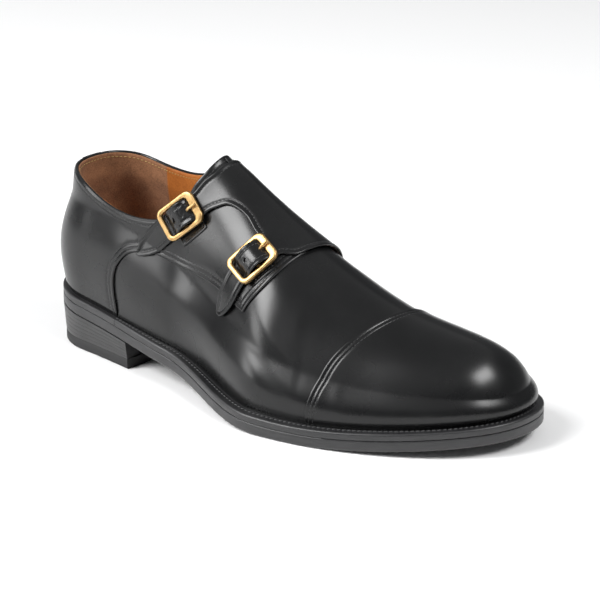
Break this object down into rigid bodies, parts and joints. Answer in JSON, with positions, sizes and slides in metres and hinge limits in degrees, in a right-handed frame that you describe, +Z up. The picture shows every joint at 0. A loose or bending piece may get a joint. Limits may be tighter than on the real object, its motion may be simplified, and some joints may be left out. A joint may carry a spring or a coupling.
{
  "type": "monk strap shoe",
  "caption": "Right-foot leather dress shoe with a toe cap, two buckled straps over the instep, a welted sole and a stacked heel.",
  "frame": {"origin": "middle of the bounding box on the floor that the shoe stands on", "axes": "+X from heel to toe, +Y towards the inner side of the right foot, +Z up"},
  "size_m": [0.3, 0.1188, 0.1196],
  "materials": {
    "calf": "polished",
    "sole_edge": "waxed",
    "heel_leather": "waxed",
    "top_piece": "matt",
    "lining": "smooth",
    "brass": "polished"
  },
  "bodies": {
    "root": {"outsole": "sole_edge", "welt": "sole_edge", "heel_rand": "sole_edge", "heel_stack": "heel_leather", "top_lift": "top_piece", "insole": "lining", "upper": "calf", "toe_cap": "calf", "tongue": "calf", "strap_panel": "calf", "buckle_tab_upper": "calf", "buckle_tab_lower": "calf", "buckle_upper": "brass", "buckle_lower": "brass", "prong_upper": "brass", "prong_lower": "brass"}
  },
  "joints": []
}
